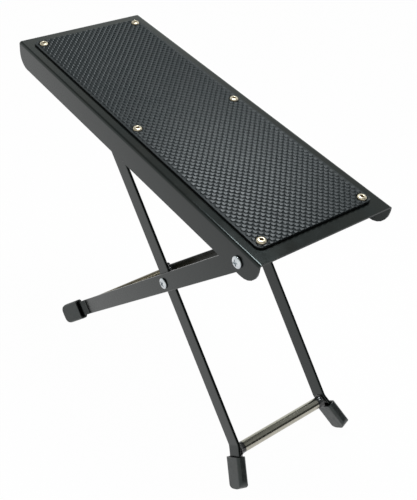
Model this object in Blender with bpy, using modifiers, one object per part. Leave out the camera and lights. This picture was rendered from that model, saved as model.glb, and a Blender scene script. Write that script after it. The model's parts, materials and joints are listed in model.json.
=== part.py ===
"""Folding footstool stand, in metres with +Z up, standing on the origin.

A pressed steel tread with a studded rubber mat rides on two crossed frames of flat bar.
The rear frame is hinged inside the tread's flanges near the low end. The front frame
crosses it, and its top rod runs in two notched rails under the tread. Pushing the frames
together lets the rod run to the far end of the rails, and the stand folds flat.
"""

import math

import bmesh
import bpy
import numpy as np
from mathutils import Matrix, Vector

# Clearance between pieces that touch, and how far a cutter runs past what it cuts
fit_gap = 0.0003
overrun = 0.002
weld_distance = 0.000002

# Tread: a channel pressed from sheet, with its flanges' lower corners rounded
tread_length = 0.2770
tread_width = 0.1028
tread_sheet = 0.0012
tread_bend_radius = 0.0019
flange_depth = 0.0178
flange_low_corner_radius = 0.0132
flange_high_corner_radius = 0.0100

# Mat on the tread, with a pair of tubular rivets at each end and in the middle
mat_end_margin = 0.0090
mat_side_margin = 0.0068
mat_thickness = 0.0018
mat_corner_radius = 0.005
mat_edge_round = 0.0004
mat_dimple_diameter = 0.0068
mat_dimple_depth = 0.0007
rivet_end_inset = 0.0051
rivet_side_inset = 0.0057
rivet_head_diameter = 0.0060
rivet_head_height = 0.0018
rivet_head_rim = 0.0006
rivet_shank_diameter = 0.0036
rivet_bore_diameter = 0.0020
rivet_bore_lip = 0.0005
rivet_tail_diameter = 0.0056
rivet_tail_height = 0.0013

# Flat bar that all four legs are made of
bar_width = 0.0125
bar_thickness = 0.0020
bar_edge_round = 0.00035
bar_bend_radius = 0.006

# Rear leg frame, hinged to the tread with a sleeve between each bar and its flange
pivot_end_inset = 0.01655
pivot_depth = 0.00995
pivot_to_crossing = 0.1118
pivot_to_rear_bend = 0.2668
hinge_spacer_length = 0.0060

# Front leg frame, carried by the crossing and by its ratchet rod
crossing_to_ratchet = 0.1224
crossing_to_front_bend = 0.1208
crossing_washer_thickness = 0.0004

# How far the ratchet rod stands from the tread hinge with the stand at its full height
open_reach = 0.1649

# Feet: the bars' ends turn outward and carry rubber caps
foot_splay = math.radians(18)
rear_foot_length = 0.0273
front_foot_length = 0.0256
cap_side_wall = 0.0017
cap_face_wall = 0.0021
cap_tip_wall = 0.0033
cap_cover = 0.0178
cap_tip_radius = 0.0058
cap_long_round = 0.0021
cap_edge_round = 0.0004
cap_mouth_wall = 0.0012
cap_mouth_depth = 0.0045

# Round rods across the frames, with weld fillets at their ends
crossbar_diameter = 0.0080
ratchet_rod_diameter = 0.0070
weld_fillet = 0.0013
rear_crossbar_before_bend = 0.0013
rear_crossbar_offset = 0.0015
front_crossbar_past_bend = 0.0040

# Notched rails under the tread, which the ratchet rod runs in
rail_sheet = 0.0018
rail_side_clearance = 0.0052
rail_foot_width = 0.0130
rail_bend_radius = 0.0026
rail_end_wall = 0.0050
rail_lip = 0.0026
rail_corner_radius = 0.0030
notch_pitch = 0.0100
notch_span_share = 0.75
notch_depth = 0.0024
rod_running_gap = 0.0003
rod_dip = 0.0011

# Screws at the hinges and the crossings
screw_diameter = 0.0042
screw_head_diameter = 0.0082
screw_head_height = 0.0022
screw_head_rim = 0.0009
screw_recess_root = 0.0013
screw_recess_tip = 0.0008
screw_recess_span = 0.0044
screw_recess_depth = 0.0012
screw_point = 0.0006
spacer_diameter = 0.0092
washer_diameter = 0.0100
nut_across_flats = 0.0070
nut_height = 0.0031

# Facets on round shapes
turn_steps = 24
small_turn_steps = 18
hole_steps = 18
arc_steps = 6

part_name = "footstool_stand"


def collection(name):
    made = bpy.data.collections.new(name)
    bpy.context.scene.collection.children.link(made)
    return made


def clear_scene():
    for obj in list(bpy.data.objects):
        bpy.data.objects.remove(obj, do_unlink=True)


def material(name, colour, roughness, metallic):
    made = bpy.data.materials.new(name)
    made.use_nodes = True
    shader = made.node_tree.nodes["Principled BSDF"]
    shader.inputs["Base Color"].default_value = (*colour, 1)
    shader.inputs["Roughness"].default_value = roughness
    shader.inputs["Metallic"].default_value = metallic
    made.diffuse_color = (*colour, 1)
    return made


def frame_empty(name, parent, place):
    made = bpy.data.objects.new(name, None)
    parts.objects.link(made)
    made.parent = parent
    made.matrix_local = place
    return made


# Placing


def turn_y(angle):
    """Turn about +Y: +X dips for a positive angle."""
    return Matrix.Rotation(angle, 4, "Y")


def at(x=0, y=0, z=0):
    return Matrix.Translation((x, y, z))


def upright():
    """Stand a flat XY outline up in the XZ plane."""
    return Matrix.Rotation(math.pi / 2, 4, "X")


def along_y(side):
    """Point a turned piece's +Z end to the outside of the given side."""
    return Matrix.Rotation(-side * math.pi / 2, 4, "X")


def put(obj, owner, place, finish=None):
    """Parent an object to a frame, at its place there."""
    obj.parent = owner
    obj.matrix_local = place
    if finish:
        obj.data.materials.clear()
        obj.data.materials.append(finish)
    return obj


def keep_smooth(obj):
    obj.data.shade_smooth()
    obj.data.set_sharp_from_angle(angle=math.radians(32))
    return obj


# Outlines


def arc(centre, radius, start, end, steps=arc_steps):
    """Points on an arc from the start angle to the end angle, both included."""
    angles = np.linspace(start, end, steps + 1)
    return [(centre[0] + radius * math.cos(a), centre[1] + radius * math.sin(a)) for a in angles]


def circle(x, z, diameter, steps=hole_steps):
    return arc((x, z), diameter / 2, 0, 2 * math.pi, steps)[:-1]


def rounded_box(x0, x1, z0, z1, radii):
    """A box outline with a radius at each corner: low left, low right, top right, top left."""
    corners = [(x0, z0, 1, 1, math.pi), (x1, z0, -1, 1, 1.5 * math.pi)]
    corners += [(x1, z1, -1, -1, 0), (x0, z1, 1, -1, 0.5 * math.pi)]
    points = []
    for (x, z, to_x, to_z, start), radius in zip(corners, radii):
        if radius > 0:
            centre = (x + to_x * radius, z + to_z * radius)
            points += arc(centre, radius, start, start + math.pi / 2)
        else:
            points.append((x, z))
    return points


def cut_length(radius, angle):
    """How far a bend of this radius reaches along each leg from the corner."""
    return radius * math.tan(abs(angle) / 2)


# Solids


def flat_solid(name, loops, thickness, owner_collection):
    """A flat outline, with any holes as further loops, given a thickness about z = 0."""
    curve = bpy.data.curves.new(name + "_outline", "CURVE")
    curve.dimensions = "2D"
    curve.fill_mode = "BOTH"
    curve.extrude = thickness / 2
    for loop in loops:
        spline = curve.splines.new("POLY")
        spline.points.add(len(loop) - 1)
        for point, (x, y) in zip(spline.points, loop):
            point.co = (x, y, 0, 1)
        spline.use_cyclic_u = True
    drawn = bpy.data.objects.new(name + "_outline", curve)
    parts.objects.link(drawn)
    bpy.context.view_layer.update()
    evaluated = drawn.evaluated_get(bpy.context.evaluated_depsgraph_get())
    mesh = bpy.data.meshes.new_from_object(evaluated)
    mesh.name = name
    bpy.data.objects.remove(drawn, do_unlink=True)
    weld(mesh)
    made = bpy.data.objects.new(name, mesh)
    owner_collection.objects.link(made)
    return made


def weld(mesh):
    work = bmesh.new()
    work.from_mesh(mesh)
    bmesh.ops.remove_doubles(work, verts=work.verts, dist=weld_distance)
    bmesh.ops.recalc_face_normals(work, faces=work.faces)
    work.to_mesh(mesh)
    work.free()


def turned(name, profile, steps=turn_steps):
    """A profile of (radius, height) points, top to bottom on its outer side, turned about Z."""
    mesh = bpy.data.meshes.new(name)
    work = bmesh.new()
    points = [work.verts.new((r, 0, h)) for r, h in profile]
    closed = profile[0][0] > 0
    for first, second in zip(points, points[1:] + points[:1] if closed else points[1:]):
        work.edges.new((first, second))
    work.to_mesh(mesh)
    work.free()
    made = bpy.data.objects.new(name, mesh)
    parts.objects.link(made)
    screw = made.modifiers.new("Turn", "SCREW")
    screw.steps = steps
    screw.render_steps = steps
    screw.use_merge_vertices = True
    screw.merge_threshold = weld_distance
    screw.use_smooth_shade = True
    return solid_mesh(made)


def solid_mesh(obj):
    """Keep an object's evaluated mesh in place of its modifiers."""
    evaluated = obj.evaluated_get(bpy.context.evaluated_depsgraph_get())
    mesh = bpy.data.meshes.new_from_object(evaluated)
    mesh.name = obj.name
    weld(mesh)
    obj.modifiers.clear()
    obj.data = mesh
    return keep_smooth(obj)


def folded_sheet(name, path, x0, x1, sheet):
    """A sheet whose section follows a path of (y, z) points, run from x0 to x1.

    The thickness goes to the right of the path's direction, seen from +X.
    """
    mesh = bpy.data.meshes.new(name)
    work = bmesh.new()
    row = [work.verts.new((x0, y, z)) for y, z in path]
    edges = [work.edges.new(pair) for pair in zip(row, row[1:])]
    swept = bmesh.ops.extrude_edge_only(work, edges=edges)
    moved = [v for v in swept["geom"] if isinstance(v, bmesh.types.BMVert)]
    bmesh.ops.translate(work, verts=moved, vec=(x1 - x0, 0, 0))
    work.to_mesh(mesh)
    work.free()
    made = bpy.data.objects.new(name, mesh)
    parts.objects.link(made)
    shell = made.modifiers.new("Sheet", "SOLIDIFY")
    shell.thickness = sheet
    shell.offset = 1
    shell.use_even_offset = True
    return made


def combine(target, other, operation):
    """A live Boolean with a cutter, which moves into the cutters' collection."""
    for held in list(other.users_collection):
        held.objects.unlink(other)
    cutters.objects.link(other)
    other.hide_render = True
    other.display_type = "WIRE"
    cut = target.modifiers.new(operation.title(), "BOOLEAN")
    cut.operation = operation
    cut.solver = "EXACT"
    cut.object = other
    return target


def round_edges(obj, width, segments=2):
    edge = obj.modifiers.new("Round", "BEVEL")
    edge.width = width
    edge.segments = segments
    edge.limit_method = "ANGLE"
    edge.angle_limit = math.radians(40)
    edge.harden_normals = False
    return obj


# Places worked out from the sizes

hinge_x = tread_length / 2 - pivot_end_inset
hinge_z = -pivot_depth
rear_angle = math.acos(
    (pivot_to_crossing**2 + open_reach**2 - crossing_to_ratchet**2)
    / (2 * pivot_to_crossing * open_reach)
)
front_angle = math.acos(
    (crossing_to_ratchet**2 + open_reach**2 - pivot_to_crossing**2)
    / (2 * crossing_to_ratchet * open_reach)
)
open_rod_x = hinge_x - open_reach
folded_rod_x = hinge_x - pivot_to_crossing - crossing_to_ratchet

flange_inner_half = tread_width / 2 - tread_sheet
rear_bar_outer_half = flange_inner_half - hinge_spacer_length - 2 * fit_gap
rear_bar_inner_half = rear_bar_outer_half - bar_thickness
front_bar_outer_half = rear_bar_inner_half - crossing_washer_thickness - 2 * fit_gap
front_bar_inner_half = front_bar_outer_half - bar_thickness
rail_outer_half = front_bar_inner_half - rail_side_clearance
hole_diameter = screw_diameter + 2 * fit_gap
rivet_hole_diameter = rivet_shank_diameter + 2 * fit_gap
mat_length = tread_length - 2 * mat_end_margin
mat_width = tread_width - 2 * mat_side_margin
rivet_x = mat_length / 2 - rivet_end_inset
rivet_y = mat_width / 2 - rivet_side_inset
mat_top = fit_gap + mat_thickness
notch_count = 1 + int(notch_span_share * (open_rod_x - folded_rod_x) / notch_pitch)


# Tread pieces, in the tread's own frame: its top face at z = 0, its middle at x = 0


def tread_section(half_width, depth, radius):
    """The channel's outer side, from the far flange's edge over the top to the near one."""
    far = arc((half_width - radius, -radius), radius, 0, math.pi / 2)
    near = arc((-half_width + radius, -radius), radius, math.pi / 2, math.pi)
    return [(half_width, -depth)] + far + near + [(-half_width, -depth)]


def make_tread_plate():
    half = tread_length / 2
    section = tread_section(tread_width / 2, flange_depth + overrun, tread_bend_radius)
    plate = folded_sheet("tread_plate", section, -half - overrun, half + overrun, tread_sheet)
    corners = [flange_high_corner_radius, flange_low_corner_radius, 0, 0]
    side = rounded_box(-half, half, -flange_depth, overrun, corners)
    profile = flat_solid("tread_side_profile", [side], tread_width + 2 * overrun, parts)
    put(profile, tread, to_tread @ upright())
    thickness = 2 * (tread_sheet + overrun)
    drill = flat_solid("tread_rivet_holes", rivet_circles(rivet_hole_diameter), thickness, parts)
    put(drill, tread, to_tread)
    hinge_hole = [circle(hinge_x, hinge_z, hole_diameter)]
    bore = flat_solid("tread_hinge_holes", hinge_hole, tread_width + 2 * overrun, parts)
    put(bore, tread, to_tread @ upright())
    put(plate, tread, to_tread, coated_steel)
    combine(plate, profile, "INTERSECT")
    combine(plate, drill, "DIFFERENCE")
    combine(plate, bore, "DIFFERENCE")
    return keep_smooth(plate)


def rivet_circles(diameter):
    return [circle(x, y, diameter) for x in (-rivet_x, 0, rivet_x) for y in (-rivet_y, rivet_y)]


def make_mat():
    half_x, half_y = mat_length / 2, mat_width / 2
    outline = rounded_box(-half_x, half_x, -half_y, half_y, [mat_corner_radius] * 4)
    mat = flat_solid("tread_mat", [outline], mat_thickness, parts)
    put(mat, tread, to_tread @ at(z=fit_gap + mat_thickness / 2), mat_rubber)
    round_edges(mat, mat_edge_round, 1)
    thickness = 2 * (mat_thickness + overrun)
    drill = flat_solid("mat_rivet_holes", rivet_circles(rivet_hole_diameter), thickness, parts)
    put(drill, tread, to_tread)
    combine(mat, drill, "DIFFERENCE")
    dimples = rivet_circles(mat_dimple_diameter)
    press = flat_solid("mat_dimples", dimples, 2 * mat_dimple_depth, parts)
    put(press, tread, to_tread @ at(z=mat_top))
    return combine(mat, press, "DIFFERENCE")


def rivet_profile():
    """A tubular rivet: domed head, shank through mat and sheet, rolled tail."""
    bore = rivet_bore_diameter / 2
    head = rivet_head_diameter / 2
    shank = rivet_shank_diameter / 2
    tail = rivet_tail_diameter / 2
    seat = mat_top - mat_dimple_depth + fit_gap
    under = -tread_sheet - fit_gap
    mouth = bore + rivet_bore_lip
    crown = rivet_head_height - rivet_head_rim
    dome = [
        (mouth + (head - mouth) * math.cos(a), seat + rivet_head_rim + crown * math.sin(a))
        for a in np.linspace(math.pi / 2, 0, arc_steps)
    ]
    profile = [(bore, seat + rivet_head_height - rivet_bore_lip)] + dome
    profile += [(head, seat), (shank, seat), (shank, under), (tail, under)]
    return profile + [(tail, under - rivet_tail_height / 2), (bore, under - rivet_tail_height)]


def make_rivets():
    number = 0
    for x in (-rivet_x, 0, rivet_x):
        for y in (-rivet_y, rivet_y):
            number += 1
            rivet = turned(f"mat_rivet_{number}", rivet_profile(), small_turn_steps)
            put(rivet, tread, to_tread @ at(x, y), nickel)


# Notched rails, in the tread's frame


def notch_places():
    """Where the rod seats, from the full height down."""
    return [open_rod_x - i * notch_pitch for i in range(notch_count)]


def rail_slot():
    """The rod's lane: a long slot whose upper edge has a round notch at each height."""
    reach = ratchet_rod_diameter / 2 + rod_running_gap
    top = hinge_z + reach
    bottom = hinge_z - reach - rod_dip
    left = folded_rod_x - reach
    right = open_rod_x + reach
    corner = reach / 2
    points = arc((left + corner, top - corner), corner, math.pi / 2, math.pi)
    points += arc((left + corner, bottom + corner), corner, math.pi, 1.5 * math.pi)
    points += arc((right - corner, bottom + corner), corner, 1.5 * math.pi, 2 * math.pi)
    open_side = math.asin((reach - notch_depth) / reach)
    for x in notch_places():
        end = math.pi - open_side
        points += arc((x, hinge_z + notch_depth), reach, open_side, end, 2 * arc_steps)
    return points


def rail_section(side):
    """Web hanging beside the front bars, bent into a foot under the tread's top."""
    seat = -tread_sheet - fit_gap
    outer = rail_outer_half
    foot = outer - rail_foot_width
    bottom = hinge_z - ratchet_rod_diameter / 2 - rod_running_gap - rod_dip - rail_lip
    bend = arc((outer - rail_bend_radius, seat - rail_bend_radius), rail_bend_radius, 0, math.pi / 2)
    path = [(outer, bottom)] + bend + [(foot, seat)]
    return [(side * y, z) for y, z in (path if side > 0 else path[::-1])]


def make_rail(label, side):
    reach = ratchet_rod_diameter / 2 + rod_running_gap + rail_end_wall
    x0, x1 = folded_rod_x - reach, open_rod_x + reach
    section = rail_section(side)
    bottom = min(z for _, z in section)
    rail = folded_sheet(f"ratchet_rail_{label}", section, x0 - overrun, x1 + overrun, rail_sheet)
    corner = rail_corner_radius
    side_shape = rounded_box(x0, x1, bottom + fit_gap, overrun, [corner, corner, 0, 0])
    profile = flat_solid(f"rail_profile_{label}", [side_shape], tread_width, parts)
    put(profile, tread, to_tread @ upright())
    slot = flat_solid(f"rail_slot_{label}", [rail_slot()], tread_width, parts)
    put(slot, tread, to_tread @ upright())
    put(rail, tread, to_tread, zinc_plate)
    combine(rail, profile, "INTERSECT")
    combine(rail, slot, "DIFFERENCE")
    return keep_smooth(rail)


# Bent flat bars, in their frame's own axes: X along the bar, Y across the stand


def ribbon(start_x, bend_x, foot_length, middle_y):
    """Edge view of a bar: straight from start_x to bend_x, then turned outward by the splay."""
    heading = 1 if bend_x > start_x else -1
    outward = 1 if middle_y > 0 else -1
    reach = cut_length(bar_bend_radius, foot_splay)
    inner, outer = [], []

    def add(x, y, angle):
        nx, ny = -math.sin(angle) * heading, math.cos(angle) * outward
        half = bar_thickness / 2
        outer.append((x + nx * half, y + ny * half))
        inner.append((x - nx * half, y - ny * half))

    add(start_x, middle_y, 0)
    for angle in np.linspace(0, foot_splay, arc_steps):
        along = bar_bend_radius * math.sin(angle) - reach
        across = bar_bend_radius * (1 - math.cos(angle))
        add(bend_x + heading * along, middle_y + outward * across, angle)
    end_x = bend_x + heading * foot_length * math.cos(foot_splay)
    add(end_x, middle_y + outward * foot_length * math.sin(foot_splay), foot_splay)
    return outer + inner[::-1]


def bar_face(end_x, foot_x, hole_places):
    """Face view of a bar: a full round end about end_x, then straight past foot_x, with holes."""
    half = bar_width / 2
    heading = 1 if foot_x > end_x else -1
    past = foot_x + heading * overrun
    start = math.pi / 2 if heading > 0 else -math.pi / 2
    points = arc((end_x, 0), half, start, start + math.pi, 2 * arc_steps)
    points += [(past, points[-1][1]), (past, points[0][1])]
    return [points] + [circle(x, 0, hole_diameter) for x in hole_places]


def make_bar(name, owner, end_x, bend_x, foot_length, middle_y, hole_places):
    heading = 1 if bend_x > end_x else -1
    start_x = end_x - heading * (bar_width / 2 + overrun)
    edge = [ribbon(start_x, bend_x, foot_length, middle_y)]
    bar = flat_solid(name, edge, bar_width + 2 * overrun, parts)
    outline = bar_face(end_x, bend_x + heading * foot_length, hole_places)
    face = flat_solid(name + "_face", outline, tread_width + 2 * overrun, parts)
    put(face, owner, upright())
    put(bar, owner, Matrix(), coated_steel)
    combine(bar, face, "INTERSECT")
    round_edges(bar, bar_edge_round)
    return keep_smooth(bar)


# Foot caps


def cap_place(bend_x, heading, middle_y):
    """The foot's own axes: X out along the bar's turned end from the bend, Z across the bar."""
    outward = 1 if middle_y > 0 else -1
    angle = foot_splay * outward if heading > 0 else math.pi - foot_splay * outward
    return at(bend_x, middle_y) @ Matrix.Rotation(angle, 4, "Z")


def make_cap(name, owner, bend_x, heading, foot_length, middle_y):
    mouth = foot_length - cap_cover
    tip = foot_length + cap_tip_wall
    inner = bar_width / 2 + fit_gap
    half = inner + cap_side_wall
    slit = bar_thickness / 2 + fit_gap
    thick = slit + cap_face_wall
    foot = cap_place(bend_x, heading, middle_y)
    face = foot @ upright()

    def across(x):
        """Stand an outline across the foot at x."""
        return foot @ at(x) @ Matrix.Rotation(math.pi / 2, 4, "Y")

    tongue = rounded_box(mouth, tip, -half, half, [0, cap_tip_radius, cap_tip_radius, 0])
    cap = flat_solid(name, [tongue], 2 * (thick + overrun), parts)
    put(cap, owner, face, foot_rubber)
    round_box = rounded_box(-half, half, -thick, thick, [cap_long_round] * 4)
    section = flat_solid(name + "_section", [round_box], 2 * tip, parts)
    put(section, owner, across(tip))
    combine(cap, section, "INTERSECT")
    round_edges(cap, cap_edge_round, 1)
    slot = rounded_box(mouth - overrun, foot_length + fit_gap, -inner, inner, [0] * 4)
    pocket = flat_solid(name + "_pocket", [slot], 2 * slit, parts)
    put(pocket, owner, face)
    combine(cap, pocket, "DIFFERENCE")
    wide, deep = half - cap_mouth_wall, thick - cap_mouth_wall
    round_mouth = rounded_box(-wide, wide, -deep, deep, [cap_long_round - cap_mouth_wall] * 4)
    relief = flat_solid(name + "_mouth", [round_mouth], 2 * cap_mouth_depth, parts)
    put(relief, owner, across(mouth))
    combine(cap, relief, "DIFFERENCE")
    return keep_smooth(cap)


# Rods across a frame


def rod_profile(diameter, half_length):
    """A rod with a concave weld fillet at each end, from its top end to its bottom end."""
    radius = diameter / 2
    sweep = np.linspace(0, math.pi / 2, arc_steps)
    flare = [
        (radius + weld_fillet * (1 - math.sin(a)), half_length - weld_fillet * (1 - math.cos(a)))
        for a in sweep
    ]
    lower = [(r, -h) for r, h in flare[::-1]]
    return [(0, half_length)] + flare + lower + [(0, -half_length)]


def make_rod(name, owner, diameter, inner_half, x, z, finish):
    rod = turned(name, rod_profile(diameter, inner_half - fit_gap))
    return put(rod, owner, at(x, 0, z) @ along_y(1), finish)


# Screws, nuts, washers and spacers


def screw_profile(length):
    """Pan head above z = 0 and a shank of the given length below it."""
    head = screw_head_diameter / 2
    shank = screw_diameter / 2
    rim = screw_head_rim
    angles = np.linspace(math.pi / 2, 0, arc_steps)
    dome = [(head * math.cos(a), rim + (screw_head_height - rim) * math.sin(a)) for a in angles]
    dome[0] = (0, screw_head_height)
    tail = [(shank, 0), (shank, screw_point - length), (shank - screw_point, -length), (0, -length)]
    return dome + [(head, 0)] + tail


def make_screw(name, owner, x, seat_y, side, length):
    """A cross-recess screw whose head sits on the plane y = side * seat_y."""
    place = at(x, side * (seat_y + fit_gap), 0) @ along_y(side)
    screw = turned(name, screw_profile(length), small_turn_steps)
    put(screw, owner, place, zinc_plate)
    reach, root, tip = screw_recess_span / 2, screw_recess_root / 2, screw_recess_tip / 2
    cross = []
    for u, v in ((1, 0), (0, 1), (-1, 0), (0, -1)):
        cross += [(u * reach + v * tip, v * reach - u * tip)]
        cross += [(u * reach - v * tip, v * reach + u * tip)]
        cross += [(u * root - v * root, v * root + u * root)]
    recess = flat_solid(name + "_recess", [cross], 2 * screw_recess_depth, parts)
    put(recess, owner, place @ at(z=screw_head_height))
    return combine(screw, recess, "DIFFERENCE")


def make_ring(name, owner, x, low_y, high_y, side, diameter, finish):
    """A flat ring or a sleeve from low_y to high_y on the given side."""
    loops = [circle(0, 0, diameter, turn_steps), circle(0, 0, hole_diameter)]
    ring = flat_solid(name, loops, high_y - low_y, parts)
    put(ring, owner, at(x, side * (low_y + high_y) / 2) @ upright(), finish)
    return keep_smooth(ring)


def make_nut(name, owner, x, high_y, side):
    corner = nut_across_flats / math.sqrt(3)
    hexagon = [(corner * math.cos(a), corner * math.sin(a)) for a in np.arange(6) * math.pi / 3]
    nut = flat_solid(name, [hexagon, circle(0, 0, hole_diameter)], nut_height, parts)
    put(nut, owner, at(x, side * (high_y - nut_height / 2)) @ upright(), zinc_plate)
    return keep_smooth(nut)


# The two leg frames


def make_rear_leg():
    crossing = -pivot_to_crossing
    bend = -pivot_to_rear_bend
    middle = rear_bar_inner_half + bar_thickness / 2
    for label, side in (("near", -1), ("far", 1)):
        holes = [0, crossing]
        foot = rear_foot_length
        make_bar(f"rear_leg_bar_{label}", rear_leg, 0, bend, foot, side * middle, holes)
        make_cap(f"rear_foot_cap_{label}", rear_leg, bend, -1, foot, side * middle)
        stack = rear_bar_outer_half - front_bar_inner_half + nut_height + 2 * fit_gap
        name = f"crossing_screw_{label}"
        length = stack + fit_gap + screw_point
        make_screw(name, rear_leg, crossing, rear_bar_outer_half, side, length)
        make_nut(f"crossing_nut_{label}", rear_leg, crossing, front_bar_inner_half - fit_gap, side)
        low = front_bar_outer_half + fit_gap
        high = rear_bar_inner_half - fit_gap
        name = f"crossing_washer_{label}"
        make_ring(name, rear_leg, crossing, low, high, side, washer_diameter, nylon)
        low, high = rear_bar_outer_half + fit_gap, flange_inner_half - fit_gap
        name = f"hinge_spacer_{label}"
        make_ring(name, rear_leg, 0, low, high, side, spacer_diameter, zinc_plate)
    x = bend + rear_crossbar_before_bend
    inner = rear_bar_inner_half
    z = rear_crossbar_offset
    make_rod("rear_crossbar", rear_leg, crossbar_diameter, inner, x, z, plated_rod)


def make_front_leg():
    top = -crossing_to_ratchet
    bend = crossing_to_front_bend
    middle = front_bar_inner_half + bar_thickness / 2
    for label, side in (("near", -1), ("far", 1)):
        foot = front_foot_length
        make_bar(f"front_leg_bar_{label}", front_leg, top, bend, foot, side * middle, [0])
        make_cap(f"front_foot_cap_{label}", front_leg, bend, 1, foot, side * middle)
    inner = front_bar_inner_half
    x = bend + front_crossbar_past_bend
    make_rod("front_crossbar", front_leg, crossbar_diameter, inner, x, 0, plated_rod)
    make_rod("ratchet_rod", front_leg, ratchet_rod_diameter, inner, top, 0, plated_rod)


def make_tread():
    make_tread_plate()
    make_mat()
    make_rivets()
    make_rail("near", -1)
    make_rail("far", 1)
    length = tread_width / 2 + fit_gap - rear_bar_inner_half
    for label, side in (("near", -1), ("far", 1)):
        make_screw(f"hinge_screw_{label}", tread, 0, tread_width / 2, side, length)


# Standing the whole on the floor


def world_points(objects):
    depsgraph = bpy.context.evaluated_depsgraph_get()
    depsgraph.update()
    rows = []
    for obj in objects:
        evaluated = obj.evaluated_get(depsgraph)
        mesh = evaluated.to_mesh()
        rows += [evaluated.matrix_world @ v.co for v in mesh.vertices]
        evaluated.to_mesh_clear()
    return np.array([tuple(p) for p in rows])


def level_on_feet():
    """Tilt the stand until its rear and front caps reach the floor together."""
    bpy.context.view_layer.update()
    rear = world_points([o for o in parts.objects if o.name.startswith("rear_foot_cap")])
    front = world_points([o for o in parts.objects if o.name.startswith("front_foot_cap")])
    tilt = 0.0
    for _ in range(20):
        down = np.array((math.sin(tilt), 0, -math.cos(tilt)))
        back = rear[np.argmax(rear @ down)]
        fore = front[np.argmax(front @ down)]
        tilt = math.atan2(fore[2] - back[2], fore[0] - back[0])
    stand.matrix_local = turn_y(tilt)
    bpy.context.view_layer.update()
    solids = [o for o in parts.objects if o.type == "MESH"]
    points = world_points(solids)
    low, high = points.min(axis=0), points.max(axis=0)
    middle = (low + high) / 2
    stand.matrix_local = at(-middle[0], -middle[1], -low[2]) @ turn_y(tilt)
    bpy.context.view_layer.update()


clear_scene()
parts = collection(part_name)
cutters = collection(part_name + "_cutters")

coated_steel = material("coated_steel", (0.045, 0.048, 0.050), 0.42, 0.0)
mat_rubber = material("mat_rubber", (0.030, 0.034, 0.042), 0.60, 0.0)
foot_rubber = material("foot_rubber", (0.040, 0.041, 0.042), 0.65, 0.0)
nickel = material("nickel", (0.62, 0.57, 0.46), 0.28, 1.0)
zinc_plate = material("zinc_plate", (0.70, 0.71, 0.72), 0.30, 1.0)
plated_rod = material("plated_rod", (0.42, 0.41, 0.41), 0.20, 1.0)
nylon = material("nylon", (0.72, 0.71, 0.68), 0.50, 0.0)

stand = frame_empty("stand_frame", None, Matrix())
hinge = at(hinge_x, 0, hinge_z)
tread = frame_empty("tread_hinge", stand, hinge)
to_tread = hinge.inverted()
rear_leg = frame_empty("rear_leg_hinge", stand, hinge @ turn_y(-rear_angle))
crossing_at_rest = hinge @ turn_y(-rear_angle) @ Vector((-pivot_to_crossing, 0, 0))
front_leg = frame_empty("front_leg_hinge", stand, at(*crossing_at_rest) @ turn_y(front_angle))

make_tread()
make_rear_leg()
make_front_leg()
level_on_feet()
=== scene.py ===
"""Looks of the folding footstool stand: finishes, studded mat, rivets, screws and welds."""

import json
import math
import bmesh
import bpy
import numpy as np
from mathutils import Matrix, Vector

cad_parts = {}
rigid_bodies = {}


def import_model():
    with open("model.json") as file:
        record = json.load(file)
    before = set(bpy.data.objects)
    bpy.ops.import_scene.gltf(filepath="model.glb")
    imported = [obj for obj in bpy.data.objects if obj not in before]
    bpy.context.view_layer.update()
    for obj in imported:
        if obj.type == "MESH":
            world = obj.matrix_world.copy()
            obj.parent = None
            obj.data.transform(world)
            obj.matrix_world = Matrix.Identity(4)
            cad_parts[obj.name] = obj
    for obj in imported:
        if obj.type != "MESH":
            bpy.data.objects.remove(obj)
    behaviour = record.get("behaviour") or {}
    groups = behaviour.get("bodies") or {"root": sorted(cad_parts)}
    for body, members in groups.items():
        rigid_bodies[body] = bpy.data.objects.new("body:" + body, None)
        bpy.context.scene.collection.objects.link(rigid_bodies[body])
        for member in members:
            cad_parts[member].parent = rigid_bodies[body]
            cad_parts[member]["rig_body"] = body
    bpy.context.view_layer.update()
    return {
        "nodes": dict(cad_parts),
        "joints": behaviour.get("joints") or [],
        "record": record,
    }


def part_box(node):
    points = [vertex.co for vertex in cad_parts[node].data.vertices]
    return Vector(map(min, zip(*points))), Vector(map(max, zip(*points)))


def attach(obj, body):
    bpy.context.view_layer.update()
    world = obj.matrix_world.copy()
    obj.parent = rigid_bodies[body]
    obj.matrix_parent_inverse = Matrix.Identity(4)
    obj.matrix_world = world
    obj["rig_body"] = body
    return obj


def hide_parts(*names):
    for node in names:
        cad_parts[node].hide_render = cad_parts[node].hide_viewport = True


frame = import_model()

nodes = frame["nodes"]
record = frame["record"]

# The tread's own frame: X down its slope, Z out of its top face, its middle at the origin
mount = record["mounts"][0]
mount_from_middle = 0.030
mat_top = 0.0021
mat_seat = 0.0003
tilt = math.atan2(mount["axis"][0], mount["axis"][2])
tread_turn = Matrix.Rotation(tilt, 4, "Y")
mount_place = Matrix.Translation(Vector(mount["pos_m"])) @ tread_turn
tread_place = mount_place @ Matrix.Translation((-mount_from_middle, 0, -mat_top))
hinge_at = Vector(frame["joints"][0]["pos_m"])
crossing_at = Vector(frame["joints"][1]["pos_m"])

# Camera, from a perspective fit to the photograph, which is 417 by 500 pixels
camera_location = Vector((0.39517, -0.27922, 0.44174))
camera_target = Vector((0.04909, -0.01864, 0.14621))
camera_lens = 57.294
camera_sensor = 36.0
camera_roll = math.radians(0.16)

# Studs of the mat, in a staggered lattice of rounded diamonds
stud_pitch_x = 0.00476
stud_pitch_y = 0.004465
stud_shoulder = 0.40
stud_peak = 0.00035
stud_ridge = -0.10
stud_side_height = 0.00045
stud_squareness = 2.6
stud_row_limit = 18.5
stud_row_slack = 0.1
stud_smooth_angle = 14
stud_base = 0.00108
mat_min_x = -0.1295
mat_max_x = 0.1290
mat_half_y = 0.0441
mat_low_end_corner = 0.0040
mat_high_end_corner = 0.0012
mat_hole_diameter = 0.0076
mat_hole_floor = 0.0008
mat_hole_steps = 32

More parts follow.
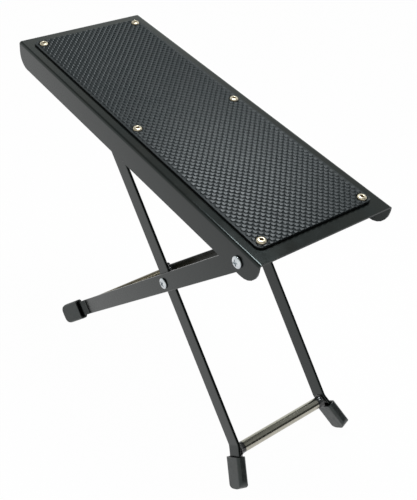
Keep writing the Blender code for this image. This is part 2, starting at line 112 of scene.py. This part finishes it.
# Tubular rivets
rivet_head_radius = 0.0030
rivet_head_height = 0.0018
rivet_rim = 0.0005
rivet_hollow_radius = 0.0011
rivet_hollow_depth = 0.0014
rivet_seat = 0.0013
rivet_under = -0.0015
rivet_shank_radius = 0.0018
rivet_tail_radius = 0.0028
rivet_tail_height = 0.0013
rivet_tail_round = 0.0006
rivet_tail_side = 0.0007
rivet_tail_floor = 0.0003
rivet_lip = 0.0004
rivet_under_rim = 0.0001

# Pan-head screws
screw_head_radius = 0.0038
screw_seat_depth = 0.0022
hinge_head_height = 0.0020
crossing_head_height = 0.0016
screw_rim = 0.0007
screw_edge = 0.00025
screw_shank_radius = 0.0021
screw_point = 0.0005
screw_dome_angle = 82
hinge_screw_turn = 20
crossing_screw_turn = 58
recess_half_span = 0.0021
recess_half_width = 0.00045
recess_depth = 0.0012

# Rods and welds
crossbar_radius = 0.0040
ratchet_rod_radius = 0.0035
weld_height = 0.0013
slim_weld_height = 0.0006
weld_length = 0.0042
weld_ripple = 0.00022
weld_ripples = 11
weld_lumps = 5
weld_lump_share = 0.6
weld_lump_phase = 2.1
weld_far_phase = 1.3

# Edges of the refined solids: sharper turns than sharp_angle are rounded, and faces are joined
# where they turn less than flat_angle, in degrees
sharp_angle = 35
flat_angle = 1
plate_edge = 0.00022
bar_edge = 0.0002
cap_edge = 0.0007
rail_edge = 0.0001
nut_edge = 0.0002

# Points closer than this become one, in a solid that is refined and in a mesh that is mended
join_distance = 0.000005
merge_distance = 0.000001

# Steps around a turned piece
round_steps = 56
rod_steps = 72
screw_dome_steps = 12
weld_steps = 8

# Studio. The room dims towards the ceiling and towards one side, each between two cosines
floor_half = 3.0
paper_colour = (0.86, 0.85, 0.83)
paper_glow = 0.985
room_colour = (0.96, 1.0, 0.97)
ceiling_reach = (0.50, 0.74)
ceiling_level = 0.30
dim_direction = (0.77, 0.55, 0.30)
dim_reach = (0.88, 0.97)
dim_level = 0.03
fill_colour = (0.95, 0.97, 1.0)
fill_level = 0.25
lamp_place = (0.00, 0.10, 0.64)
lamp_target = (0.08, 0, 0.20)
lamp_size = 0.18
lamp_power = 2.6
lamp_colour = (0.90, 0.97, 1.0)


# Mesh helpers


def link(name, mesh):
    """A new object in the scene for a mesh."""
    made = bpy.data.objects.new(name, mesh)
    bpy.context.scene.collection.objects.link(made)
    return made


def smooth(obj, degrees=sharp_angle):
    """Shade smoothly, but keep the edges sharp that turn by more than an angle."""
    obj.data.shade_smooth()
    obj.data.set_sharp_from_angle(angle=math.radians(degrees))
    return obj


def flatten(obj):
    """Keep flat faces flat in shading beside their rounded edges."""
    weigh = obj.modifiers.new("Flat faces", "WEIGHTED_NORMAL")
    weigh.keep_sharp = True
    return obj


def settle(obj):
    """Keep an object's evaluated mesh in place of its modifiers."""
    evaluated = obj.evaluated_get(bpy.context.evaluated_depsgraph_get())
    mesh = bpy.data.meshes.new_from_object(evaluated)
    obj.modifiers.clear()
    obj.data = mesh
    return obj


def mended(obj):
    """Merge the doubled points and fill the pinholes that a bevel or a cut leaves."""
    work = bmesh.new()
    work.from_mesh(obj.data)
    bmesh.ops.remove_doubles(work, verts=work.verts, dist=merge_distance)
    rim = [e for e in work.edges if e.is_boundary]
    if rim:
        bmesh.ops.holes_fill(work, edges=rim, sides=0)
        bmesh.ops.recalc_face_normals(work, faces=work.faces)
    work.to_mesh(obj.data)
    work.free()
    return obj


def wear(obj, material, body, slot, *replaced):
    """Give a piece its material and its body, and hide the solids it stands for; the slot is not
    used.
    """
    obj.data.materials.clear()
    obj.data.materials.append(material)
    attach(obj, body)
    if replaced:
        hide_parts(*replaced)
    return obj


def refined(node, edge, segments, material, slot):
    """A copy of a CAD solid with its flat faces joined and its edges finely rounded."""
    work = bmesh.new()
    work.from_mesh(nodes[node].data)
    bmesh.ops.remove_doubles(work, verts=work.verts, dist=join_distance)
    turn = math.radians(flat_angle)
    bmesh.ops.dissolve_limit(work, angle_limit=turn, verts=work.verts, edges=work.edges)
    mesh = bpy.data.meshes.new(node + "_finish")
    work.to_mesh(mesh)
    work.free()
    made = link(node + "_finish", mesh)
    if edge:
        bevel = made.modifiers.new("Edge", "BEVEL")
        bevel.width = edge
        bevel.segments = segments
        bevel.limit_method = "ANGLE"
        bevel.angle_limit = math.radians(sharp_angle)
        bevel.use_clamp_overlap = True
        mended(settle(made))
    flatten(smooth(made))
    return wear(made, material, nodes[node]["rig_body"], slot, node)


def turned(name, profile, steps=round_steps, ripple=None):
    """Turn (radius, height) points about Z; ripple(angle, index) is added to the radius."""
    work = bmesh.new()
    rings = []
    for index, (radius, height) in enumerate(profile):
        if radius == 0:
            rings.append([work.verts.new((0, 0, height))])
            continue
        ring = []
        for step in range(steps):
            angle = 2 * math.pi * step / steps
            r = radius + (ripple(angle, index) if ripple else 0)
            ring.append(work.verts.new((r * math.cos(angle), r * math.sin(angle), height)))
        rings.append(ring)
    for upper, lower in zip(rings, rings[1:]):
        for step in range(steps):
            corners = [upper[step % len(upper)], lower[step % len(lower)]]
            corners += [lower[(step + 1) % len(lower)], upper[(step + 1) % len(upper)]]
            corners = list(dict.fromkeys(corners))
            if len(corners) > 2:
                work.faces.new(corners)
    bmesh.ops.recalc_face_normals(work, faces=work.faces)
    mesh = bpy.data.meshes.new(name)
    work.to_mesh(mesh)
    work.free()
    return smooth(link(name, mesh))


def arc(centre, radius, start, end, steps=8):
    """Points on a circle from one angle to another, both ends included."""
    return [
        (centre[0] + radius * math.cos(a), centre[1] + radius * math.sin(a))
        for a in np.linspace(start, end, steps + 1)
    ]


def prism(name, outline, low, high):
    """A straight-sided solid over an outline of (x, y) points."""
    work = bmesh.new()
    base = work.faces.new([work.verts.new((x, y, low)) for x, y in outline])
    made = bmesh.ops.extrude_face_region(work, geom=[base])
    top = [v for v in made["geom"] if isinstance(v, bmesh.types.BMVert)]
    bmesh.ops.translate(work, verts=top, vec=(0, 0, high - low))
    bmesh.ops.recalc_face_normals(work, faces=work.faces)
    mesh = bpy.data.meshes.new(name)
    work.to_mesh(mesh)
    work.free()
    return link(name, mesh)


def carve(target, tools, operation):
    """Boolean a piece with helper solids, which are removed afterwards."""
    for tool in tools:
        cut = target.modifiers.new("Cut", "BOOLEAN")
        cut.operation = operation
        cut.solver = "EXACT"
        cut.object = tool
    settle(target)
    for tool in tools:
        bpy.data.objects.remove(tool, do_unlink=True)
    return target


# Materials


class Shader:
    """A Principled material with a few shortcuts for its nodes."""

    def __init__(self, name, colour, roughness, metallic=0.0, specular=0.5):
        self.material = bpy.data.materials.new(name)
        self.material.use_nodes = True
        self.tree = self.material.node_tree
        self.main = self.tree.nodes["Principled BSDF"]
        self.main.inputs["Base Color"].default_value = (*colour, 1)
        self.main.inputs["Roughness"].default_value = roughness
        self.main.inputs["Metallic"].default_value = metallic
        self.main.inputs["Specular IOR Level"].default_value = specular
        self.place = self.tree.nodes.new("ShaderNodeTexCoord").outputs["Object"]

    def join(self, source, target):
        self.tree.links.new(source, target)

    def noise(self, scale, detail=3.0, roughness=0.55, stretch=None):
        """A value of about 0.3 to 0.7 that varies over the object."""
        made = self.tree.nodes.new("ShaderNodeTexNoise")
        made.inputs["Scale"].default_value = scale
        made.inputs["Detail"].default_value = detail
        made.inputs["Roughness"].default_value = roughness
        place = self.place
        if stretch:
            mapping = self.tree.nodes.new("ShaderNodeMapping")
            mapping.inputs["Scale"].default_value = stretch
            self.join(place, mapping.inputs["Vector"])
            place = mapping.outputs["Vector"]
        self.join(place, made.inputs["Vector"])
        return made.outputs["Fac"]

    def cells(self, scale):
        """The distance from scattered points over the object."""
        made = self.tree.nodes.new("ShaderNodeTexVoronoi")
        made.inputs["Scale"].default_value = scale
        self.join(self.place, made.inputs["Vector"])
        return made.outputs["Distance"]

    def remap(self, source, start, end, onto=(0, 1)):
        """Spread a value that runs from start to end onto another range."""
        made = self.tree.nodes.new("ShaderNodeMapRange")
        made.inputs["From Min"].default_value = start
        made.inputs["From Max"].default_value = end
        made.inputs["To Min"].default_value = onto[0]
        made.inputs["To Max"].default_value = onto[1]
        self.join(source, made.inputs["Value"])
        return made.outputs["Result"]

    def blend(self, factor, first, second):
        """Mix two colours; each is a colour or the output of a node."""
        made = self.tree.nodes.new("ShaderNodeMix")
        made.data_type = "RGBA"
        self.join(factor, made.inputs["Factor"])
        for value, name in ((first, "A"), (second, "B")):
            socket = next(s for s in made.inputs if s.name == name and s.type == "RGBA")
            if isinstance(value, tuple):
                socket.default_value = (*value, 1)
            else:
                self.join(value, socket)
        return next(s for s in made.outputs if s.type == "RGBA")

    def colour(self, source):
        self.join(source, self.main.inputs["Base Color"])

    def roughness(self, source):
        self.join(source, self.main.inputs["Roughness"])

    def bump(self, source, distance, strength):
        """Add a fine relief in the shading; a second one goes on top of the first."""
        made = self.tree.nodes.new("ShaderNodeBump")
        made.inputs["Distance"].default_value = distance
        made.inputs["Strength"].default_value = strength
        self.join(source, made.inputs["Height"])
        previous = self.main.inputs["Normal"].links
        if previous:
            self.join(previous[0].from_socket, made.inputs["Normal"])
        self.join(made.outputs["Normal"], self.main.inputs["Normal"])


def powder_coat():
    """Black powder coat: a faint mottle, rare dust and an uneven gloss."""
    made = Shader("coated_steel_finish", (0.0045, 0.005, 0.0045), 0.18, specular=0.36)
    mottle = made.remap(made.noise(38, detail=4), 0.35, 0.65)
    tint = made.blend(mottle, (0.0036, 0.0052, 0.0050), (0.0056, 0.0054, 0.0042))
    dust = made.remap(made.noise(900, detail=2, roughness=0.7), 0.70, 0.80, onto=(0, 0.35))
    made.colour(made.blend(dust, tint, (0.075, 0.076, 0.072)))
    made.roughness(made.remap(made.noise(90, detail=5), 0.3, 0.7, onto=(0.15, 0.21)))
    made.bump(made.noise(1500, detail=3), distance=0.00003, strength=0.5)
    made.bump(made.noise(260, detail=2), distance=0.00005, strength=0.25)
    made.main.inputs["Specular Tint"].default_value = (0.88, 1.0, 0.985, 1)
    return made.material


def stud_rubber():
    """Moulded rubber: a faint mottle and a few pale specks of lint in patches."""
    made = Shader("mat_rubber_finish", (0.020, 0.023, 0.024), 0.36, specular=0.17)
    mottle = made.remap(made.noise(60, detail=3), 0.35, 0.65)
    tint = made.blend(mottle, (0.0185, 0.0220, 0.0230), (0.0215, 0.0240, 0.0250))
    specks = made.remap(made.cells(420), 0.0, 0.055, onto=(1.0, 0.0))
    patches = made.remap(made.noise(75, detail=1), 0.60, 0.66, onto=(0, 0.8))
    both = made.tree.nodes.new("ShaderNodeMath")
    both.operation = "MULTIPLY"
    made.join(specks, both.inputs[0])
    made.join(patches, both.inputs[1])
    made.colour(made.blend(both.outputs[0], tint, (0.22, 0.23, 0.23)))
    made.roughness(made.remap(made.noise(240, detail=4), 0.3, 0.7, onto=(0.32, 0.40)))
    made.bump(made.noise(2600, detail=3), distance=0.00003, strength=0.5)
    return made.material


def cap_rubber():
    """Soft black rubber with upright scuffs."""
    made = Shader("foot_rubber_finish", (0.016, 0.018, 0.018), 0.36, specular=0.62)
    mottle = made.remap(made.noise(120, detail=4), 0.35, 0.65)
    tint = made.blend(mottle, (0.0130, 0.0165, 0.0175), (0.0190, 0.0190, 0.0175))
    upright = made.noise(700, detail=3, roughness=0.7, stretch=(1, 1, 0.25))
    scuffs = made.remap(upright, 0.66, 0.78, onto=(0, 0.3))
    made.colour(made.blend(scuffs, tint, (0.085, 0.085, 0.080)))
    made.roughness(made.remap(made.noise(300, detail=4), 0.3, 0.7, onto=(0.30, 0.46)))
    made.bump(made.noise(1900, detail=3), distance=0.00004, strength=0.5)
    made.main.inputs["Specular Tint"].default_value = (0.92, 1.0, 0.985, 1)
    return made.material


def plated(name, colour, stain, roughness):
    """Plated metal, stained in places and uneven in its polish."""
    made = Shader(name, colour, roughness, metallic=1.0)
    made.colour(made.blend(made.remap(made.noise(420, detail=4), 0.38, 0.68), colour, stain))
    polish = (roughness * 0.75, roughness * 1.35)
    made.roughness(made.remap(made.noise(900, detail=3), 0.3, 0.7, onto=polish))
    made.bump(made.noise(2400, detail=3), distance=0.00002, strength=0.4)
    return made.material


def weld_coat():
    """Coat over a weld bead: glossier and more uneven than on the bars."""
    made = Shader("weld_coat_finish", (0.010, 0.011, 0.013), 0.20, specular=0.8)
    made.colour(made.blend(made.noise(500, detail=3), (0.008, 0.009, 0.013), (0.014, 0.014, 0.014)))
    made.roughness(made.remap(made.noise(700, detail=3), 0.3, 0.7, onto=(0.14, 0.30)))
    made.bump(made.noise(1200, detail=3), distance=0.00008, strength=0.5)
    return made.material


def nylon_finish():
    """Natural nylon, slightly yellowed in places."""
    made = Shader("nylon_finish", (0.62, 0.60, 0.56), 0.5)
    made.colour(made.blend(made.noise(300, detail=3), (0.58, 0.56, 0.51), (0.66, 0.65, 0.61)))
    made.roughness(made.remap(made.noise(500, detail=3), 0.3, 0.7, onto=(0.42, 0.58)))
    return made.material


# Studded mat


def mat_outline():
    """The mat's outline: its corners are rounder at the low end."""
    x0, x1, y = mat_min_x, mat_max_x, mat_half_y
    r, h = mat_low_end_corner, mat_high_end_corner
    points = arc((x1 - r, y - r), r, 0, math.pi / 2)
    points += arc((x0 + h, y - h), h, math.pi / 2, math.pi)
    points += arc((x0 + h, h - y), h, math.pi, 1.5 * math.pi)
    return points + arc((x1 - r, r - y), r, 1.5 * math.pi, 2 * math.pi)


def stud_height(u, v):
    """Height of a stud at (u, v) cells from its middle: a low lopsided roof on rounded sides."""
    reach = (abs(u) ** stud_squareness + abs(v) ** stud_squareness) ** (1 / stud_squareness)
    side = stud_side_height * min(max((0.5 - reach) / (0.5 - stud_shoulder), 0), 1)
    run = stud_shoulder - stud_ridge if v > stud_ridge else stud_shoulder + stud_ridge
    return side + stud_peak * max(1 - abs(v - stud_ridge) / run, 0)


def studded_block():
    """A closed block of studs that runs a little past the mat's ends."""
    edge, ridge = stud_shoulder, stud_ridge
    steps_u = [-0.5, *np.linspace(-edge, edge, 7)]
    steps_v = [-0.5, -edge, (ridge - edge) / 2, *np.linspace(ridge, edge, 5)]
    per_cell = len(steps_u)
    work = bmesh.new()
    found = {}

    def corner(i, j):
        if (i, j) not in found:
            (cell_u, part_u), (cell_v, part_v) = divmod(i, per_cell), divmod(j, per_cell)
            u, v = cell_u + steps_u[part_u], cell_v + steps_v[part_v]
            x = (u + v) * stud_pitch_x / 2
            y = (u - v) * stud_pitch_y / 2 + stud_pitch_y / 4
            kept = abs((cell_u - cell_v) / 2 + 0.25) <= stud_row_limit / 2 + stud_row_slack
            height = stud_height(steps_u[part_u], steps_v[part_v]) if kept else 0.0
            found[i, j] = work.verts.new((x, y, mat_seat + stud_base + height))
        return found[i, j]

    reach_x = int(2 * mat_max_x / stud_pitch_x) + 3
    reach_y = int(2 * mat_half_y / stud_pitch_y) + 2
    for total in range(-reach_x, reach_x + 1):
        for apart in range(-reach_y, reach_y + 1):
            if (total + apart) % 2:
                continue
            first = (total + apart) // 2 * per_cell
            second = (total - apart) // 2 * per_cell
            for i in range(first, first + per_cell):
                for j in range(second, second + per_cell):
                    ring = ((i, j), (i + 1, j), (i + 1, j + 1), (i, j + 1))
                    work.faces.new([corner(*spot) for spot in ring])
    rim = [e for e in work.edges if e.is_boundary]
    dropped = bmesh.ops.extrude_edge_only(work, edges=rim)
    low = [v for v in dropped["geom"] if isinstance(v, bmesh.types.BMVert)]
    for vert in low:
        vert.co.z = mat_seat - stud_base
    bmesh.ops.holes_fill(work, edges=[e for e in work.edges if e.is_boundary], sides=0)
    bmesh.ops.recalc_face_normals(work, faces=work.faces)
    mesh = bpy.data.meshes.new("studded_mat")
    work.to_mesh(mesh)
    work.free()
    return link("studded_mat", mesh)


def studded_mat(material, holes_at):
    """Replace the mat: a block of studs, trimmed to its outline and opened for the rivets."""
    mat = studded_block()
    carve(mat, [prism("mat_trim", mat_outline(), mat_seat, mat_top + mat_top)], "INTERSECT")
    holes = []
    for x, y in holes_at:
        ring = arc((x, y), mat_hole_diameter / 2, 0, 2 * math.pi, mat_hole_steps)[:-1]
        holes.append(prism("mat_hole", ring, mat_hole_floor, mat_top + mat_top))
    mended(carve(mat, holes, "DIFFERENCE"))
    mat.matrix_world = tread_place
    smooth(mat, stud_smooth_angle)
    return wear(mat, material, "tread", "mat_rubber", "tread_mat")


# Rivets


def rivet_profile():
    """A tubular rivet from the floor of its hollow over its head to its rolled tail."""
    top = rivet_seat + rivet_head_height
    mouth = rivet_hollow_radius
    crown = rivet_head_height - rivet_rim
    lip = rivet_lip
    floor_at = top - rivet_hollow_depth
    points = [(0, floor_at), (mouth * 0.7, top - rivet_hollow_depth * 0.96)]
    points += [(mouth, top - rivet_hollow_depth * 0.7), (mouth, top - lip)]
    points += arc((mouth + lip, top - lip), lip, math.pi, math.pi / 2, 4)[1:]
    for angle in np.linspace(math.pi / 2, 0, 9)[1:]:
        reach = mouth + lip + (rivet_head_radius - mouth - lip) * math.cos(angle)
        points.append((reach, rivet_seat + rivet_rim + crown * math.sin(angle)))
    points += [(rivet_head_radius - rivet_under_rim, rivet_seat), (rivet_shank_radius, rivet_seat)]
    points += [(rivet_shank_radius, rivet_under), (rivet_tail_radius, rivet_under)]
    round_at = (rivet_tail_radius - rivet_tail_round, rivet_under - rivet_tail_side)
    points += arc(round_at, rivet_tail_round, 0, -math.pi / 2, 4)
    return points + [(mouth, rivet_under - rivet_tail_height), (0, rivet_under - rivet_tail_floor)]


def rivet_spots():
    """Each rivet's (x, y) in the tread's frame, by node name."""
    found = {}
    for name in sorted(n for n in nodes if n.startswith("mat_rivet")):
        low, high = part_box(name)
        spot = tread_place.inverted() @ ((low + high) / 2)
        found[name] = (spot.x, spot.y)
    return found


def rivets(material, hollow, spots):
    """Replace the rivets; the faces inside their hollows get a darker copy of the plating, as
    painted shade.
    """
    for name, (x, y) in spots.items():
        made = turned(name + "_finish", rivet_profile())
        made.matrix_world = tread_place @ Matrix.Translation((x, y, 0))
        wear(made, material, "tread", "nickel", name)
        # The hollow's faces take the darker copy of the plating: painted shade in the recess
        made.data.materials.append(hollow)
        for face in made.data.polygons:
            centre = face.center
            inside = math.hypot(centre.x, centre.y) < rivet_hollow_radius
            if inside and centre.z > rivet_seat:
                face.material_index = 1


# Screws


def screw_profile(height, length):
    """A pan head over its seat at zero, and a shank of a given length below."""
    head, rim, edge = screw_head_radius, screw_rim, screw_edge
    points = [
        (head * math.sin(a), rim + (height - rim) * math.cos(a))
        for a in np.linspace(0, math.radians(screw_dome_angle), screw_dome_steps)
    ]
    points[0] = (0, height)
    shank = screw_shank_radius
    points += [(head, rim), (head, edge), (head - edge, 0), (shank, 0)]
    return points + [(shank, screw_point - length), (shank * 0.7, -length), (0, -length)]


def cross_outline(turn):
    """A four-armed cross with slightly tapered arms."""
    tip, root = recess_half_width, recess_half_width * 1.5
    points = []
    for quarter in range(4):
        angle = turn + quarter * math.pi / 2
        for along, across in ((recess_half_span, -tip), (recess_half_span, tip), (root, root)):
            x = along * math.cos(angle) - across * math.sin(angle)
            y = along * math.sin(angle) + across * math.cos(angle)
            points.append((x, y))
    return points


def screw(name, centre, turn, height, material, body):
    """Replace a screw: its head faces outward, and its shank reaches as far as the solid's does."""
    low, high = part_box(name)
    side = -1 if name.endswith("near") else 1
    outer = high.y if side > 0 else low.y
    inner = low.y if side > 0 else high.y
    seat = outer - side * screw_seat_depth
    made = turned(name + "_finish", screw_profile(height, abs(seat - inner)))
    cross = cross_outline(math.radians(turn))
    tool = prism("recess", cross, height - recess_depth, height * 1.5)
    carve(made, [tool], "DIFFERENCE")
    smooth(made)
    turn_out = Matrix.Rotation(-side * math.pi / 2, 4, "X")
    made.matrix_world = Matrix.Translation((centre.x, seat, centre.z)) @ turn_out
    return wear(made, material, body, "zinc_plate", name)


# Rods with their welds


def rod(name, radius, bead, material, weld, body):
    """Replace a rod: its ends flare into rippled weld beads."""
    low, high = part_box(name)
    centre = (low + high) / 2
    half = (high.y - low.y) / 2
    flare = [
        (radius + bead * (1 - math.sin(a)), half - weld_length * (1 - math.cos(a)))
        for a in np.linspace(0, math.pi / 2, weld_steps)
    ]
    count = len(flare)
    profile = [(0, half)] + flare + [(r, -h) for r, h in flare[::-1]] + [(0, -half)]

    def ripple(angle, index):
        from_end = min(index - 1, 2 * count - index)
        share = max(0.0, 1 - from_end / (count - 1))
        phase = weld_far_phase if index > count else 0.0
        lumps = weld_lump_share * math.sin(weld_lumps * angle + weld_lump_phase + phase)
        swell = math.sin(weld_ripples * angle + phase) + lumps
        return weld_ripple * share * swell - weld_ripple * share

    made = turned(name + "_finish", profile, rod_steps, ripple)
    made.matrix_world = Matrix.Translation(centre) @ Matrix.Rotation(math.pi / 2, 4, "X")
    wear(made, material, body, "plated_rod", name)
    made.data.materials.append(weld)
    for face in made.data.polygons:
        if abs(face.center.z) > half - weld_length:
            face.material_index = 1


# Studio


def floor():
    """Pale paper, which glows to the camera and in reflections and keeps a trace of shadow."""
    mesh = bpy.data.meshes.new("floor")
    corners = [(x * floor_half, y * floor_half, 0) for x, y in ((-1, -1), (1, -1), (1, 1), (-1, 1))]
    mesh.from_pydata(corners, [], [(0, 1, 2, 3)])
    made = link("floor", mesh)
    material = bpy.data.materials.new("floor_paper")
    material.use_nodes = True
    tree = material.node_tree
    main = tree.nodes["Principled BSDF"]
    main.inputs["Base Color"].default_value = (*paper_colour, 1)
    main.inputs["Roughness"].default_value = 0.8
    main.inputs["Specular IOR Level"].default_value = 0.1
    glow = tree.nodes.new("ShaderNodeEmission")
    glow.inputs["Color"].default_value = (1, 1, 1, 1)
    path = tree.nodes.new("ShaderNodeLightPath")
    share = tree.nodes.new("ShaderNodeMath")
    share.operation = "MULTIPLY"
    share.inputs[1].default_value = paper_glow
    seen = tree.nodes.new("ShaderNodeMath")
    seen.operation = "MAXIMUM"
    mix = tree.nodes.new("ShaderNodeMixShader")
    tree.links.new(path.outputs["Is Camera Ray"], seen.inputs[0])
    tree.links.new(path.outputs["Is Glossy Ray"], seen.inputs[1])
    tree.links.new(seen.outputs[0], share.inputs[0])
    tree.links.new(share.outputs[0], mix.inputs["Fac"])
    tree.links.new(main.outputs["BSDF"], mix.inputs[1])
    tree.links.new(glow.outputs["Emission"], mix.inputs[2])
    tree.links.new(mix.outputs["Shader"], tree.nodes["Material Output"].inputs["Surface"])
    made.data.materials.append(material)


def world():
    """White to the camera; for light and reflections a pale horizon under a dimmer ceiling."""
    made = bpy.data.worlds.new("studio")
    bpy.context.scene.world = made
    made.use_nodes = True
    tree = made.node_tree
    tree.nodes.clear()
    place = tree.nodes.new("ShaderNodeTexCoord").outputs["Generated"]

    def away_from(direction, reach, level):
        """1 away from a direction and a lower level towards it, from one cosine to the next."""
        dot = tree.nodes.new("ShaderNodeVectorMath")
        dot.operation = "DOT_PRODUCT"
        dot.inputs[1].default_value = Vector(direction).normalized()
        tree.links.new(place, dot.inputs[0])
        remap = tree.nodes.new("ShaderNodeMapRange")
        remap.interpolation_type = "SMOOTHSTEP"
        remap.inputs["From Min"].default_value = reach[0]
        remap.inputs["From Max"].default_value = reach[1]
        remap.inputs["To Min"].default_value = 1.0
        remap.inputs["To Max"].default_value = level
        tree.links.new(dot.outputs["Value"], remap.inputs["Value"])
        return remap.outputs["Result"]

    def times(first, second):
        made = tree.nodes.new("ShaderNodeMath")
        made.operation = "MULTIPLY"
        tree.links.new(first, made.inputs[0])
        tree.links.new(second, made.inputs[1])
        return made.outputs[0]

    ceiling = away_from((0, 0, 1), ceiling_reach, ceiling_level)
    dim_side = away_from(dim_direction, dim_reach, dim_level)
    room = tree.nodes.new("ShaderNodeBackground")
    room.inputs["Color"].default_value = (*room_colour, 1)
    tree.links.new(times(ceiling, dim_side), room.inputs["Strength"])
    fill = tree.nodes.new("ShaderNodeBackground")
    fill.inputs["Color"].default_value = (*fill_colour, 1)
    fill.inputs["Strength"].default_value = fill_level
    seen = tree.nodes.new("ShaderNodeBackground")
    seen.inputs["Color"].default_value = (1, 1, 1, 1)
    path = tree.nodes.new("ShaderNodeLightPath")
    shine = tree.nodes.new("ShaderNodeMath")
    shine.operation = "MAXIMUM"
    tree.links.new(path.outputs["Is Glossy Ray"], shine.inputs[0])
    tree.links.new(path.outputs["Is Transmission Ray"], shine.inputs[1])
    first = tree.nodes.new("ShaderNodeMixShader")
    tree.links.new(shine.outputs[0], first.inputs["Fac"])
    tree.links.new(fill.outputs["Background"], first.inputs[1])
    tree.links.new(room.outputs["Background"], first.inputs[2])
    second = tree.nodes.new("ShaderNodeMixShader")
    tree.links.new(path.outputs["Is Camera Ray"], second.inputs["Fac"])
    tree.links.new(first.outputs["Shader"], second.inputs[1])
    tree.links.new(seen.outputs["Background"], second.inputs[2])
    output = tree.nodes.new("ShaderNodeOutputWorld")
    tree.links.new(second.outputs["Shader"], output.inputs["Surface"])


def soft_light():
    """A small lamp above the stand, which its upper faces catch."""
    lamp = bpy.data.lights.new("overhead", "AREA")
    lamp.shape = "SQUARE"
    lamp.size = lamp_size
    lamp.energy = lamp_power
    lamp.color = lamp_colour
    made = bpy.data.objects.new("overhead", lamp)
    bpy.context.scene.collection.objects.link(made)
    made.location = lamp_place
    made.rotation_mode = "QUATERNION"
    made.rotation_quaternion = (Vector(lamp_target) - Vector(lamp_place)).to_track_quat("-Z", "Y")


def camera():
    """The photograph's viewpoint."""
    lens = bpy.data.cameras.new("camera")
    lens.lens = camera_lens
    lens.sensor_width = camera_sensor
    lens.clip_start = 0.01
    made = bpy.data.objects.new("camera", lens)
    bpy.context.scene.collection.objects.link(made)
    aim = (camera_target - camera_location).to_track_quat("-Z", "Y").to_matrix().to_4x4()
    roll = Matrix.Rotation(camera_roll, 4, "Z")
    made.matrix_world = Matrix.Translation(camera_location) @ aim @ roll
    bpy.context.scene.camera = made


coat = powder_coat()
rubber = stud_rubber()
foot = cap_rubber()
nickel = plated("nickel_finish", (0.64, 0.57, 0.45), (0.46, 0.38, 0.26), 0.34)
# A darker, browner copy of the nickel plating for the insides of the rivets' hollows: painted shade
hollow_shade_nickel = plated("hollow_shade_nickel_finish", (0.30, 0.21, 0.11), (0.20, 0.13, 0.06), 0.55)
zinc = plated("zinc_finish", (0.70, 0.73, 0.75), (0.54, 0.57, 0.60), 0.24)
nylon = nylon_finish()
rod_metal = plated("plated_rod_finish", (0.44, 0.42, 0.36), (0.38, 0.365, 0.31), 0.20)
dark_rod = plated("dark_rod_finish", (0.18, 0.155, 0.11), (0.13, 0.11, 0.08), 0.32)
weld = weld_coat()

refined("tread_plate", plate_edge, 2, coat, "coated_steel")
for side in ("near", "far"):
    refined(f"rear_leg_bar_{side}", bar_edge, 2, coat, "coated_steel")
    refined(f"front_leg_bar_{side}", bar_edge, 2, coat, "coated_steel")
    refined(f"rear_foot_cap_{side}", cap_edge, 3, foot, "foot_rubber")
    refined(f"front_foot_cap_{side}", cap_edge, 3, foot, "foot_rubber")
    refined(f"ratchet_rail_{side}", rail_edge, 1, zinc, "zinc_plate")
    refined(f"crossing_nut_{side}", nut_edge, 2, zinc, "zinc_plate")
    refined(f"crossing_washer_{side}", None, 0, nylon, "nylon")
    refined(f"hinge_spacer_{side}", None, 0, zinc, "zinc_plate")
    for name, place, turn, height, body in (
        ("hinge_screw", hinge_at, hinge_screw_turn, hinge_head_height, "tread"),
        ("crossing_screw", crossing_at, crossing_screw_turn, crossing_head_height, "rear_leg"),
    ):
        screw(f"{name}_{side}", place, turn, height, zinc, body)
rod("rear_crossbar", crossbar_radius, slim_weld_height, dark_rod, weld, "rear_leg")
rod("front_crossbar", crossbar_radius, weld_height, rod_metal, weld, "front_leg")
rod("ratchet_rod", ratchet_rod_radius, weld_height, rod_metal, weld, "front_leg")

spots = rivet_spots()
rivets(nickel, hollow_shade_nickel, spots)
studded_mat(rubber, spots.values())

floor()
world()
soft_light()
camera()
bpy.context.scene.view_settings.view_transform = "Standard"
